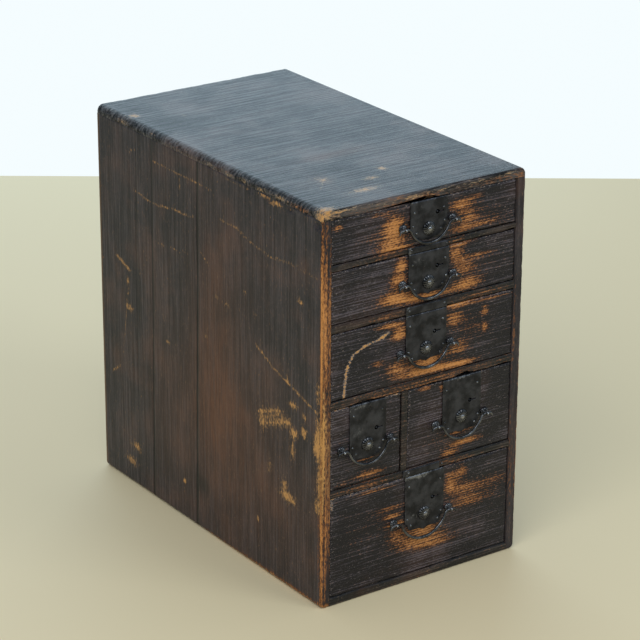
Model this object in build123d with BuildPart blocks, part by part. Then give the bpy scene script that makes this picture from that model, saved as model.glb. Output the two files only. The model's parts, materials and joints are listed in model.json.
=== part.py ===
from build123d import *
from dataclasses import dataclass
import math
import os

os.makedirs("parts", exist_ok=True)

# Small drawer chest. Millimetres; X runs along the front, Y towards the back, Z up.
# The origin is on the floor, under the centre of the case.

# Case boards
case_width = 264.0
case_depth = 449.0
side_thickness = 11.5
top_thickness = 10.0
base_thickness = 10.0
back_thickness = 5.0
opening_heights = [50.0, 59.0, 76.0, 93.0, 117.5]  # drawer rows, from the top down
shelf_thicknesses = [7.0, 9.5, 9.5, 8.5]  # the board under each of the first four rows
divider_thickness = 8.0
divider_shift = -24.0  # centre of the divider, from the middle of the case

# Worn edges of the case
top_round = 8.0
base_round = 6.0
arris_round = 2.5
rail_round = 1.0

# Joints of the case
housing_depth = 4.0  # how far a shelf enters a side
housing_stop = 9.0  # the housings stop this far behind the front
housing_relief = 0.3
tongue_thickness = 4.0
divider_housing = 2.0

# Drawers
face_setback = 0.5
gap_above = 1.0
gap_below = 0.3
gap_beside = 0.8
gap_behind = 1.0
front_thickness = 12.0
front_lap = 5.0  # wood left in front of the rabbets
drawer_side_thickness = 7.0
drawer_back_thickness = 7.0
drawer_bottom_thickness = 5.0
side_drop = 3.0  # the drawer's sides stay this far under the top of its front
comb_fingers = 5
face_round = 1.3

# Lock
plate_thickness = 1.0
flange_depth = 7.5
plate_notch = 4.0
plate_lobe = 5.0
plate_point = 2.6  # how far the point hangs below the plate's lower edge
plate_point_half = 8.0
lock_box_width = 30.0
lock_box_depth = 6.0
lock_box_wall = 1.0
lock_box_below_key = 7.0
key_side = 11.0  # keyhole, from the rosette
key_rise = 16.5
key_radius = 2.4
key_slot_reach = 8.0  # from the hole's centre
key_slot_height = 1.6
key_pin_radius = 0.9
bolt_width = 9.0
bolt_body_width = 14.0
bolt_thickness = 2.5
bolt_setback = 3.4  # bolt's middle, behind the drawer's face
bolt_throw = 4.0
bolt_clearance = 0.25
strike_thickness = 1.0
strike_reveal = 0.6  # rail left bare above a strike plate

# Rosette
petal_count = 16
rosette_radius = 8.5
rosette_thickness = 1.4
stud_radius = 3.0
stud_height = 2.2
stud_edge = 0.6

# Pull
washer_radius = 5.0
washer_height = 1.5
washer_edge = 0.5
axis_stand = 5.0  # bail's axis, in front of the drawer's face
eye_wire_radius = 0.9
eye_clearance = 0.1
shank_radius = 1.5
shank_clearance = 0.05
clench_length = 6.0
clench_width = 1.6
clench_thickness = 1.2
bail_radius_middle = 1.9
bail_radius_eye = 1.4
bail_radius_tip = 1.15
bail_eye_stretch = 2.0  # half the straight stretch in an eye
bail_shoulder = 6.0
bail_curl = 5.5
bail_curl_turn = 80.0
bail_flat_count = 8  # hammered flats round the bail


@dataclass
class Ironwork:
    """Where one drawer's lock plate and pull sit: shifts from the drawer's middle, drops from its top."""
    plate_shift: float
    plate_share: float  # the plate's width, as a share of its opening
    plate_drop: float
    rosette_drop: float
    axis_drop: float
    gap_left: float  # from the plate's edge to the washer's
    gap_right: float
    bail_drop: float


ironwork = {
    1: Ironwork(3.1, 0.1992, 44.8, 32.1, 26.8, 3.3, 1.7, 19.8),
    2: Ironwork(4.1, 0.2178, 48.1, 35.0, 32.2, 1.5, 0.3, 19.8),
    3: Ironwork(2.5, 0.2199, 55.5, 40.5, 41.6, 0.6, 0.4, 19.8),
    4: Ironwork(2.0, 0.5081, 64.9, 47.9, 48.3, 4.3, 0.7, 20.8),
    5: Ironwork(2.2, 0.3665, 65.5, 46.7, 49.6, 2.7, 0.3, 20.8),
    6: Ironwork(4.4, 0.2158, 67.3, 48.1, 50.8, 8.3, 1.7, 23.8),
}
# the drawer under each strike plate: its shift from that drawer's lock plate, and its width
strikes = {2: (-1.0, 52.0), 3: (-0.5, 54.0), 6: (-5.4, 49.0)}

# Worked out from the sizes above
case_height = top_thickness + base_thickness + sum(opening_heights) + sum(shelf_thicknesses)
front_y = -case_depth / 2
rear_y = case_depth / 2
inner_rear_y = rear_y - back_thickness
inner_x = case_width / 2 - side_thickness
housing_y = front_y + housing_stop
face_y = front_y + face_setback
drawer_rear_y = inner_rear_y - gap_behind
divider_left = divider_shift - divider_thickness / 2
divider_right = divider_shift + divider_thickness / 2

row_tops = [case_height - top_thickness]
shelf_tops = []
for opening_height, shelf_thickness in zip(opening_heights, shelf_thicknesses):
    shelf_tops.append(row_tops[-1] - opening_height)
    row_tops.append(shelf_tops[-1] - shelf_thickness)
row_bases = [top - height for top, height in zip(row_tops, opening_heights)]

# left, right and row of each drawer's opening
openings = {
    1: (-inner_x, inner_x, 0),
    2: (-inner_x, inner_x, 1),
    3: (-inner_x, inner_x, 2),
    4: (-inner_x, divider_left, 3),
    5: (divider_right, inner_x, 3),
    6: (-inner_x, inner_x, 4),
}
drawer_left = {n: left + gap_beside for n, (left, right, row) in openings.items()}
drawer_right = {n: right - gap_beside for n, (left, right, row) in openings.items()}
drawer_base = {n: row_bases[row] + gap_below for n, (left, right, row) in openings.items()}
drawer_top = {n: row_tops[row] - gap_above for n, (left, right, row) in openings.items()}
drawer_middle = {n: (drawer_left[n] + drawer_right[n]) / 2 for n in openings}
plate_x = {n: drawer_middle[n] + ironwork[n].plate_shift for n in openings}
plate_half = {n: ironwork[n].plate_share * (right - left) / 2 for n, (left, right, row) in openings.items()}
bolt_y = face_y + bolt_setback


def block(low, high, mode=Mode.ADD):
    """A square block between two corners, in the part being built."""
    with Locations(low):
        Box(*(b - a for a, b in zip(low, high)), align=(Align.MIN, Align.MIN, Align.MIN), mode=mode)


def keep(builder, name):
    builder.part.label = name
    export_step(builder.part, f"parts/{name}.step")


# The outer form of the whole case, to which its boards are trimmed
with BuildPart() as case_form:
    with BuildSketch(Plane.XZ.offset(-front_y)) as end_outline:
        with Locations((0, case_height / 2)):
            Rectangle(case_width, case_height)
        fillet(end_outline.vertices().group_by(Axis.Y)[-1], top_round)
        fillet(end_outline.vertices().group_by(Axis.Y)[0], base_round)
    extrude(amount=-case_depth)
    fillet(case_form.faces().sort_by(Axis.Y)[0].edges(), arris_round)
    fillet(case_form.faces().sort_by(Axis.Y)[-1].edges(), arris_round)


def bolt_mortise(number):
    """Cut, in the board above a drawer, the hole that its lock bolt rises into."""
    underside = drawer_top[number] + gap_above
    half = bolt_width / 2 + bolt_clearance
    depth = bolt_thickness / 2 + bolt_clearance
    rise = bolt_throw - gap_above + 2 * bolt_clearance
    block(
        (plate_x[number] - half, bolt_y - depth, underside),
        (plate_x[number] + half, bolt_y + depth, underside + rise),
        Mode.SUBTRACT,
    )


def strike_recess(number):
    """Cut the seat of a strike plate's lower leg under a rail."""
    shift, width = strikes[number]
    underside = drawer_top[number] + gap_above
    middle = plate_x[number] + shift
    block(
        (middle - width / 2, front_y, underside),
        (middle + width / 2, front_y + flange_depth, underside + strike_thickness),
        Mode.SUBTRACT,
    )


# Case boards
tongue_x = inner_x + (side_thickness - tongue_thickness) / 2
tongue_outer_x = tongue_x + tongue_thickness
side_top = case_height - top_thickness
for name, sign in (("left_side", -1), ("right_side", 1)):
    with BuildPart() as side_board:
        with BuildSketch(Plane.YZ.offset(sign * inner_x)):
            with Locations(((front_y + inner_rear_y) / 2, side_top / 2)):
                Rectangle(inner_rear_y - front_y, side_top)
        extrude(amount=sign * side_thickness)
        # stub tongue, up into the top board
        tongue_xs = sorted((sign * tongue_x, sign * tongue_outer_x))
        block((tongue_xs[0], housing_y, side_top), (tongue_xs[1], inner_rear_y, side_top + housing_depth))
        # housings for the shelves, and a groove for the bottom board's tongue
        groove_xs = sorted((sign * inner_x, sign * (inner_x + housing_depth)))
        for shelf_top, shelf_thickness in zip(shelf_tops, shelf_thicknesses):
            block(
                (groove_xs[0], housing_y, shelf_top - shelf_thickness),
                (groove_xs[1], inner_rear_y, shelf_top),
                Mode.SUBTRACT,
            )
        groove_base = (base_thickness - tongue_thickness) / 2
        block(
            (groove_xs[0], housing_y, groove_base),
            (groove_xs[1], inner_rear_y, groove_base + tongue_thickness),
            Mode.SUBTRACT,
        )
        add(case_form.part, mode=Mode.INTERSECT)
    keep(side_board, name)

with BuildPart() as top_board:
    with BuildSketch(Plane.XY.offset(side_top)):
        Rectangle(case_width, case_depth)
    extrude(amount=top_thickness)
    for sign in (-1, 1):
        groove_xs = sorted((sign * tongue_x, sign * tongue_outer_x))
        block(
            (groove_xs[0], housing_y, side_top),
            (groove_xs[1], inner_rear_y, side_top + housing_depth + housing_relief),
            Mode.SUBTRACT,
        )
    bolt_mortise(1)
    add(case_form.part, mode=Mode.INTERSECT)
keep(top_board, "top_board")

with BuildPart() as bottom_board:
    with BuildSketch(Plane.XY):
        with Locations((0, (front_y + inner_rear_y) / 2)):
            Rectangle(2 * inner_x, inner_rear_y - front_y)
    extrude(amount=base_thickness)
    tongue_base = (base_thickness - tongue_thickness) / 2
    tongue_reach = inner_x + housing_depth - housing_relief
    block(
        (-tongue_reach, housing_y, tongue_base),
        (tongue_reach, inner_rear_y, tongue_base + tongue_thickness),
    )
    add(case_form.part, mode=Mode.INTERSECT)
keep(bottom_board, "bottom_board")

with BuildPart() as back_panel:
    with BuildSketch(Plane.XZ.offset(-inner_rear_y)):
        with Locations((0, side_top / 2)):
            Rectangle(case_width, side_top)
    extrude(amount=-back_thickness)
    add(case_form.part, mode=Mode.INTERSECT)
keep(back_panel, "back_panel")

drawer_under_strike = {openings[number][2]: number for number in strikes}
for index, (shelf_top, shelf_thickness) in enumerate(zip(shelf_tops, shelf_thicknesses)):
    row_below = index + 1
    with BuildPart() as shelf:
        with BuildSketch(Plane.XY.offset(shelf_top - shelf_thickness)):
            with Locations((0, (front_y + inner_rear_y) / 2)):
                Rectangle(2 * inner_x, inner_rear_y - front_y)
            with Locations((0, (housing_y + inner_rear_y) / 2)):
                Rectangle(2 * (inner_x + housing_depth - housing_relief), inner_rear_y - housing_y)
        extrude(amount=shelf_thickness)
        fillet(shelf.edges().filter_by(Axis.X).group_by(Axis.Y)[0], rail_round)
        if openings[4][2] == row_below:  # the divider stands under this shelf
            block(
                (divider_left, housing_y, shelf_top - shelf_thickness),
                (divider_right, inner_rear_y, shelf_top - shelf_thickness + divider_housing),
                Mode.SUBTRACT,
            )
        if openings[4][2] == index:  # the divider stands on this shelf
            block(
                (divider_left, housing_y, shelf_top - divider_housing),
                (divider_right, inner_rear_y, shelf_top),
                Mode.SUBTRACT,
            )
        if row_below in drawer_under_strike:
            strike_recess(drawer_under_strike[row_below])
        for number in openings:
            if openings[number][2] == row_below:
                bolt_mortise(number)
    keep(shelf, f"shelf_{index + 1}")

divider_row = openings[4][2]
with BuildPart() as divider:
    block(
        (divider_left, front_y, row_bases[divider_row]),
        (divider_right, inner_rear_y, row_tops[divider_row]),
    )
    block(
        (divider_left, housing_y, row_bases[divider_row] - divider_housing + housing_relief),
        (divider_right, inner_rear_y, row_tops[divider_row] + divider_housing - housing_relief),
    )
    fillet(divider.edges().filter_by(Axis.Z).group_by(Axis.Y)[0], rail_round)
keep(divider, "divider")

with BuildPart() as strike_plates:
    for number, (shift, width) in strikes.items():
        underside = drawer_top[number] + gap_above
        rail_top = underside + shelf_thicknesses[openings[number][2] - 1]
        left = plate_x[number] + shift - width / 2
        block(
            (left, front_y - strike_thickness, underside),
            (left + width, front_y, rail_top - strike_reveal),
        )
        block(
            (left, front_y, underside),
            (left + width, front_y + flange_depth, underside + strike_thickness),
        )
        bolt_mortise(number)
keep(strike_plates, "strike_plates")


def drawer_box(number):
    """Front, sides, back and bottom of one drawer."""
    left, right = drawer_left[number], drawer_right[number]
    base, top = drawer_base[number], drawer_top[number]
    iron = ironwork[number]
    inner_face_y = face_y + front_thickness
    rabbet_y = face_y + front_lap
    wall_base = base + drawer_bottom_thickness
    wall_top = top - side_drop
    key_drop = iron.rosette_drop - key_rise

    with BuildPart() as front:
        with BuildSketch(Plane.XZ.offset(-face_y)):
            with Locations(((left + right) / 2, (base + top) / 2)):
                Rectangle(right - left, top - base)
        extrude(amount=-front_thickness)
        fillet(front.faces().sort_by(Axis.Y)[0].edges(), face_round)
        # rabbets for the sides and the bottom
        block((left, rabbet_y, base), (left + drawer_side_thickness, inner_face_y, wall_top), Mode.SUBTRACT)
        block(
            (right - drawer_side_thickness, rabbet_y, base),
            (right, inner_face_y, wall_top),
            Mode.SUBTRACT,
        )
        block((left, rabbet_y, base), (right, inner_face_y, wall_base), Mode.SUBTRACT)
        # seat of the lock plate's flange, and the pocket of the lock
        block(
            (plate_x[number] - plate_half[number], face_y, top - plate_thickness),
            (plate_x[number] + plate_half[number], face_y + flange_depth, top),
            Mode.SUBTRACT,
        )
        block(
            (plate_x[number] - lock_box_width / 2, face_y, top - key_drop - lock_box_below_key),
            (plate_x[number] + lock_box_width / 2, face_y + lock_box_depth, top),
            Mode.SUBTRACT,
        )
        # holes for the posts of the pull and the shank of the rosette
        hole_spots = [(x, top - iron.axis_drop) for x in post_xs(number)]
        hole_spots.append((plate_x[number], top - iron.rosette_drop))
        with BuildSketch(Plane.XZ.offset(-face_y)):
            with Locations(*hole_spots):
                Circle(shank_radius + shank_clearance)
        extrude(amount=-front_thickness, mode=Mode.SUBTRACT)
    keep(front, f"drawer_{number}_front")

    finger = (wall_top - wall_base) / comb_fingers
    comb_y = drawer_rear_y - drawer_back_thickness
    with BuildPart() as sides:
        for side_left in (left, right - drawer_side_thickness):
            block(
                (side_left, rabbet_y, wall_base),
                (side_left + drawer_side_thickness, drawer_rear_y, wall_top),
            )
        for index in range(0, comb_fingers, 2):
            low = wall_base + index * finger
            block((left, comb_y, low), (right, drawer_rear_y, low + finger), Mode.SUBTRACT)
    keep(sides, f"drawer_{number}_sides")

    with BuildPart() as back:
        block((left, comb_y, wall_base), (right, drawer_rear_y, wall_top))
        for index in range(1, comb_fingers, 2):
            low = wall_base + index * finger
            for side_left in (left, right - drawer_side_thickness):
                block(
                    (side_left, comb_y, low),
                    (side_left + drawer_side_thickness, drawer_rear_y, low + finger),
                    Mode.SUBTRACT,
                )
    keep(back, f"drawer_{number}_back")

    with BuildPart() as bottom:
        with BuildSketch(Plane.XY.offset(base)):
            with Locations(((left + right) / 2, (rabbet_y + drawer_rear_y) / 2)):
                Rectangle(right - left, drawer_rear_y - rabbet_y)
        extrude(amount=drawer_bottom_thickness)
    keep(bottom, f"drawer_{number}_bottom")


def post_xs(number):
    """The two posts stand beside the lock plate, clear of it by their washers."""
    iron = ironwork[number]
    left = plate_x[number] - plate_half[number] - washer_radius - iron.gap_left
    right = plate_x[number] + plate_half[number] + washer_radius + iron.gap_right
    return left, right


def lock(number):
    """Lock plate with the lock's box behind it, and the bolt."""
    iron = ironwork[number]
    middle = plate_x[number]
    top = drawer_top[number]
    half = plate_half[number]
    point_z = top - iron.plate_drop
    edge_z = point_z + plate_point
    lobe_z = edge_z + plate_lobe
    notch_z = lobe_z + plate_notch
    lobe_x = half - plate_notch
    flat_x = lobe_x - plate_lobe
    diagonal = math.sqrt(0.5)
    key_x = middle + key_side
    key_z = top - iron.rosette_drop + key_rise
    box_base = key_z - lock_box_below_key
    box_top = top - plate_thickness
    slot_half_x = bolt_width / 2 + bolt_clearance
    slot_half_y = bolt_thickness / 2 + bolt_clearance
    face_plane = Plane(origin=(middle, face_y, 0), x_dir=(1, 0, 0), z_dir=(0, -1, 0))

    with BuildPart() as plate:
        with BuildSketch(face_plane):
            with BuildLine() as outline:
                Line((0, top), (half, top))
                Line((half, top), (half, notch_z))
                ThreePointArc(
                    (half, notch_z),
                    (half - plate_notch * diagonal, notch_z - plate_notch * (1 - diagonal)),
                    (lobe_x, lobe_z),
                )
                ThreePointArc(
                    (lobe_x, lobe_z),
                    (flat_x + plate_lobe * diagonal, lobe_z - plate_lobe * diagonal),
                    (flat_x, edge_z),
                )
                Line((flat_x, edge_z), (plate_point_half, edge_z))
                ThreePointArc(
                    (plate_point_half, edge_z),
                    (plate_point_half / 2, edge_z - plate_point / 3),
                    (0, point_z),
                )
                mirror(about=Plane.YZ)
            make_face()
            with Locations((key_side, key_z)):
                Circle(key_radius, mode=Mode.SUBTRACT)
            with Locations((key_side, key_z)):
                Rectangle(
                    key_slot_reach,
                    key_slot_height,
                    align=(Align.MIN, Align.CENTER),
                    mode=Mode.SUBTRACT,
                )
            with Locations((0, top - iron.rosette_drop)):
                Circle(shank_radius + shank_clearance, mode=Mode.SUBTRACT)
        extrude(amount=plate_thickness)
        block((middle - half, face_y, box_top), (middle + half, face_y + flange_depth, top))
        block(
            (middle - slot_half_x, bolt_y - slot_half_y, box_top),
            (middle + slot_half_x, bolt_y + slot_half_y, top),
            Mode.SUBTRACT,
        )
        # the lock's box, open towards the plate, with the pin that guides the key
        box_left = middle - lock_box_width / 2
        box_right = middle + lock_box_width / 2
        block((box_left, face_y, box_base), (box_right, face_y + lock_box_depth, box_top))
        block(
            (box_left + lock_box_wall, face_y, box_base + lock_box_wall),
            (box_right - lock_box_wall, face_y + lock_box_depth - lock_box_wall, box_top - lock_box_wall),
            Mode.SUBTRACT,
        )
        block(
            (middle - slot_half_x, bolt_y - slot_half_y, box_top - lock_box_wall),
            (middle + slot_half_x, bolt_y + slot_half_y, box_top),
            Mode.SUBTRACT,
        )
        with BuildSketch(Plane.XZ.offset(plate_thickness - face_y)):
            with Locations((key_x, key_z)):
                Circle(key_pin_radius)
        extrude(amount=-(plate_thickness + lock_box_depth - lock_box_wall))
    keep(plate, f"drawer_{number}_lock_plate")

    foot_z = box_base + lock_box_wall + bolt_clearance / 2
    shoulder_z = box_top - lock_box_wall - bolt_throw - bolt_clearance / 2
    low_y = bolt_y - bolt_thickness / 2
    high_y = bolt_y + bolt_thickness / 2
    with BuildPart() as bolt:
        block(
            (middle - bolt_body_width / 2, low_y, foot_z),
            (middle + bolt_body_width / 2, high_y, shoulder_z),
        )
        block(
            (middle - bolt_width / 2, low_y, shoulder_z),
            (middle + bolt_width / 2, high_y, top - bolt_clearance),
        )
    keep(bolt, f"drawer_{number}_lock_bolt")


def shank(x, z, from_y, clench_y):
    """A pin through the drawer's front, with its two legs clenched up and down on the inside."""
    with BuildSketch(Plane.XZ.offset(-from_y)) as round_section:
        with Locations((x, z)):
            Circle(shank_radius)
    extrude(round_section.sketch, amount=from_y - clench_y - clench_thickness)
    block(
        (x - clench_width / 2, clench_y, z - clench_length),
        (x + clench_width / 2, clench_y + clench_thickness, z + clench_length),
    )


def dome(x, base_y, z, hole, radius, edge, height):
    """A low spherical cap on a round edge, standing forward from its seat, with or without a hole."""
    cap = height - edge
    ball_radius = (radius**2 + cap**2) / (2 * cap)

    def spot(r):
        return x + r, base_y - height + ball_radius - math.sqrt(ball_radius**2 - r**2)

    with BuildSketch(Plane.XY.offset(z)) as half_profile:
        with BuildLine():
            Line((x + hole, base_y), (x + radius, base_y))
            Line((x + radius, base_y), spot(radius))
            ThreePointArc(spot(radius), spot((radius + hole) / 2), spot(hole))
            Line(spot(hole), (x + hole, base_y))
        make_face()
    revolve(half_profile.sketch, axis=Axis((x, base_y, z), (0, 1, 0)))


def pull_fixings(number):
    """The two split-pin posts with their washers, and the rosette with its stud."""
    iron = ironwork[number]
    axis_z = drawer_top[number] - iron.axis_drop
    rosette_z = drawer_top[number] - iron.rosette_drop
    plate_y = face_y - plate_thickness
    inside_y = face_y + front_thickness
    ring_radius = bail_radius_eye + eye_clearance + eye_wire_radius
    axis_y = face_y - axis_stand
    petal_radius = rosette_radius * math.sin(math.pi / petal_count)
    with BuildPart() as fixings:
        for x in post_xs(number):
            hole_radius = shank_radius + shank_clearance
            dome(x, face_y, axis_z, hole_radius, washer_radius, washer_edge, washer_height)
        # split pins, each an eye round the bail's axis and a shank
        for x in post_xs(number):
            shank(x, axis_z, axis_y + ring_radius, inside_y)
            with Locations((x, axis_y, axis_z)):
                Torus(ring_radius, eye_wire_radius, rotation=(0, 90, 0))
        # petals round a stud
        with BuildSketch(Plane.XZ.offset(-plate_y)):
            with Locations((plate_x[number], rosette_z)):
                Circle(rosette_radius - petal_radius)
                with PolarLocations(rosette_radius - petal_radius, petal_count):
                    Circle(petal_radius)
        extrude(amount=rosette_thickness)
        stud_y = plate_y - rosette_thickness
        dome(plate_x[number], stud_y, rosette_z, 0, stud_radius, stud_edge, stud_height)
        shank(plate_x[number], rosette_z, plate_y, inside_y)
    keep(fixings, f"drawer_{number}_pull_fixings")


def bail(number):
    """A drooping bow between two eyes, thick in its middle, with ends that curl down outside the eyes."""
    iron = ironwork[number]
    left, right = post_xs(number)
    half_span = (right - left) / 2
    inner_end = half_span - bail_eye_stretch
    outer_end = half_span + bail_eye_stretch
    # the bow meets each shoulder where both arcs have one direction
    bow_radius = (inner_end**2 + iron.bail_drop**2) / (2 * iron.bail_drop) - bail_shoulder
    bow_half_angle = math.degrees(math.asin(inner_end / (bow_radius + bail_shoulder)))
    hanging_plane = Plane(
        origin=((left + right) / 2, face_y - axis_stand, drawer_top[number] - iron.axis_drop),
        x_dir=(1, 0, 0),
        z_dir=(0, -1, 0),
    )
    with BuildPart() as handle:
        with BuildLine(hanging_plane) as line:
            CenterArc((-outer_end, -bail_curl), bail_curl, 90 + bail_curl_turn, -bail_curl_turn)
            Line((-outer_end, 0), (-inner_end, 0))
            CenterArc((-inner_end, -bail_shoulder), bail_shoulder, 90, -bow_half_angle)
            CenterArc((0, bow_radius - iron.bail_drop), bow_radius, 270 - bow_half_angle, 2 * bow_half_angle)
            CenterArc((inner_end, -bail_shoulder), bail_shoulder, 90 + bow_half_angle, -bow_half_angle)
            Line((inner_end, 0), (outer_end, 0))
            CenterArc((outer_end, -bail_curl), bail_curl, 90, -bail_curl_turn)
        path = line.wire()
        radii = {0.0: bail_radius_tip, 0.5: bail_radius_middle, 1.0: bail_radius_tip}
        for x in (-outer_end, -inner_end, inner_end, outer_end):
            radii[path.param_at_point(hanging_plane.from_local_coords((x, 0, 0)))] = bail_radius_eye
        for along in sorted(radii):
            with BuildSketch(Plane(path.position_at(along), (0, 1, 0), path.tangent_at(along))):
                RegularPolygon(radii[along], bail_flat_count)
        sweep(path=path, multisection=True)
    keep(handle, f"drawer_{number}_bail")


for drawer_number in openings:
    drawer_box(drawer_number)
    lock(drawer_number)
    pull_fixings(drawer_number)
    bail(drawer_number)
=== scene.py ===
import json
import math

import bpy
import numpy as np
from mathutils import Matrix, Vector, noise


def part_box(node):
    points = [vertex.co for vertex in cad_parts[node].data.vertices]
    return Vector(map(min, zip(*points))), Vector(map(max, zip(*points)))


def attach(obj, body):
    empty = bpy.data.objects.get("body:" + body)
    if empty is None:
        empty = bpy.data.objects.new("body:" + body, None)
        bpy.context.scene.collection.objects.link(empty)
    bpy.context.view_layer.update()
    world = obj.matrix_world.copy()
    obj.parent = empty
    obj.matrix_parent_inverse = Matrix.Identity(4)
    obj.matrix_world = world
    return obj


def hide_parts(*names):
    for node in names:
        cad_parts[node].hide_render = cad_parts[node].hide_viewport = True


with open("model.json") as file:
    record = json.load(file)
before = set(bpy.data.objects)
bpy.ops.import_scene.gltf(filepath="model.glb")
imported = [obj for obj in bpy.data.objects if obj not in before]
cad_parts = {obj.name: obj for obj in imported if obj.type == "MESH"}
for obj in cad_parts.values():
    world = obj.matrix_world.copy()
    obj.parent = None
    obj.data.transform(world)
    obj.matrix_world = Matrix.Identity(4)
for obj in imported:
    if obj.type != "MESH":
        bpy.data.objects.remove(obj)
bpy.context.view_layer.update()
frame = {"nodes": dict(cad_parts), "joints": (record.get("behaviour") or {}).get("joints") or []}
mm = 0.001

topLow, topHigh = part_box("top_board")
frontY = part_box("left_side")[0].y
rearY = topHigh.y
leftX = topLow.x
drawerNumbers = range(1, 7)
print("frame loaded")


def setMode(mode):
    bpy.ops.object.mode_set(mode=mode)


def selectAll(action):
    bpy.ops.mesh.select_all(action=action)


def addObject(name, data):
    piece = bpy.data.objects.new(name, data)
    bpy.context.collection.objects.link(piece)
    return piece


def startFresh():
    if bpy.context.object and bpy.context.object.mode == "EDIT":
        setMode("OBJECT")
    bpy.ops.object.select_all(action="DESELECT")


def takeUp(piece):
    startFresh()
    piece.select_set(True)
    bpy.context.view_layer.objects.active = piece


def joinPieces(pieces, name):
    takeUp(pieces[0])
    for piece in pieces:
        piece.select_set(True)
    bpy.ops.object.join()
    joined = bpy.context.object
    joined.name = name
    return joined


def copyTo(master, place):
    # a copy with its own mesh, its place in the mesh
    piece = addObject(master.name, master.data.copy())
    piece.data.transform(Matrix.Translation(place))
    return piece


def finishPiece(piece, body, nodes, material):
    piece.data.materials.clear()
    piece.data.materials.append(material)
    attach(piece, body)
    if nodes:
        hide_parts(*nodes)


def addNode(tree, kind, inputs=None, **settings):
    node = tree.nodes.new("ShaderNode" + kind)
    for name, value in settings.items():
        setattr(node, name, value)
    for name, value in (inputs or {}).items():
        if isinstance(value, bpy.types.NodeSocket):
            tree.links.new(value, node.inputs[name])
        else:
            node.inputs[name].default_value = value
    return node


def mathNode(tree, operation, first, second):
    return addNode(tree, "Math", {0: first, 1: second}, operation=operation).outputs[0]


def blend(tree, *shares):
    # the sum of (value, weight) pairs
    total = 0.0
    for value, weight in shares:
        node = addNode(tree, "Math", {0: value, 1: weight, 2: total}, operation="MULTIPLY_ADD")
        total = node.outputs[0]
    return total


def between(tree, value, low, high):
    # 0 below low, 1 above high, smooth between them
    node = addNode(tree, "MapRange", {"Value": value, "From Min": low, "From Max": high},
                   interpolation_type="SMOOTHSTEP")
    return node.outputs["Result"]


def mixColour(tree, share, first, second):
    node = addNode(tree, "Mix", data_type="RGBA")
    for socket, value in (("Factor_Float", share), ("A_Color", first), ("B_Color", second)):
        target = next(s for s in node.inputs if s.identifier == socket)
        if isinstance(value, bpy.types.NodeSocket):
            tree.links.new(value, target)
        else:
            target.default_value = value if socket == "Factor_Float" else (*value, 1)
    return next(s for s in node.outputs if s.identifier == "Result_Color")


def noiseNode(tree, vector, scale, detail, roughness):
    return addNode(tree, "TexNoise", {"Vector": vector, "Scale": scale, "Detail": detail,
                                                "Roughness": roughness}).outputs["Fac"]


def stretched(tree, coords, grainAxis, along, across):
    # coordinates that run slowly along the grain
    scale = [across, across, across]
    scale[grainAxis] = along
    return addNode(tree, "Mapping", {"Vector": coords, "Scale": scale}).outputs["Vector"]


def freshMaterial(name):
    material = bpy.data.materials.new(name)
    material.use_nodes = True
    tree = material.node_tree
    shader = next(n for n in tree.nodes if n.type == "BSDF_PRINCIPLED")
    coords = addNode(tree, "TexCoord").outputs["Object"]
    return material, tree, shader, coords


def readMarks(tree):
    marks = addNode(tree, "Attribute", attribute_name="marks").outputs
    parts = addNode(tree, "SeparateColor", {"Color": marks["Color"]}).outputs
    return parts["Red"], parts["Green"], parts["Blue"], marks["Alpha"]


def setFinish(tree, shader, colour, rough, height, strength, distance):
    bump = addNode(tree, "Bump", {"Height": height, "Strength": strength, "Distance": distance})
    tree.links.new(colour, shader.inputs["Base Color"])
    tree.links.new(rough, shader.inputs["Roughness"])
    tree.links.new(bump.outputs["Normal"], shader.inputs["Normal"])


stain = {
    "red": (0.135, 0.046, 0.018),
    "bareDark": (0.15, 0.052, 0.016),
    "bareLight": (0.62, 0.27, 0.075),
    "scuffAndSheen": (0.56, 0.29, 0.088),
    "sootAndShade": (0.004, 0.004, 0.0045),
    # where a layer starts to show, and where it covers
    "limits": {"tint": (0.42, 0.78), "tintHairs": (0.2, 0.75), "dust": (0.66, 0.76), "worn": (0.3, 0.5),
               "bareAndHighlight": (0.42, 1.02), "grazeAndSheen": (0.28, 0.52), "scuffAndSheen": (0.45, 0.8), "sootAndShade": (0.1, 0.8)},
    "ringPitch": 1.4,  # in pitches of the lines
    "wornLevel": 2.07,
    "scuffLevel": 1.88,
    "bump": (0.6, 0.0009),
}


def ringBands(tree, coords, grainAxis, acrossAxis, pitch):
    # growth rings cut lengthwise: wavering bands that run with the grain
    vector = stretched(tree, coords, grainAxis, 7, 0.314 / pitch)
    wave = addNode(tree, "TexWave",
                   {"Vector": vector, "Scale": 1.0, "Distortion": 12.0, "Detail": 4.0, "Detail Scale": 0.7},
                   bands_direction="XYZ"[acrossAxis])
    return wave.outputs["Fac"]


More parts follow.
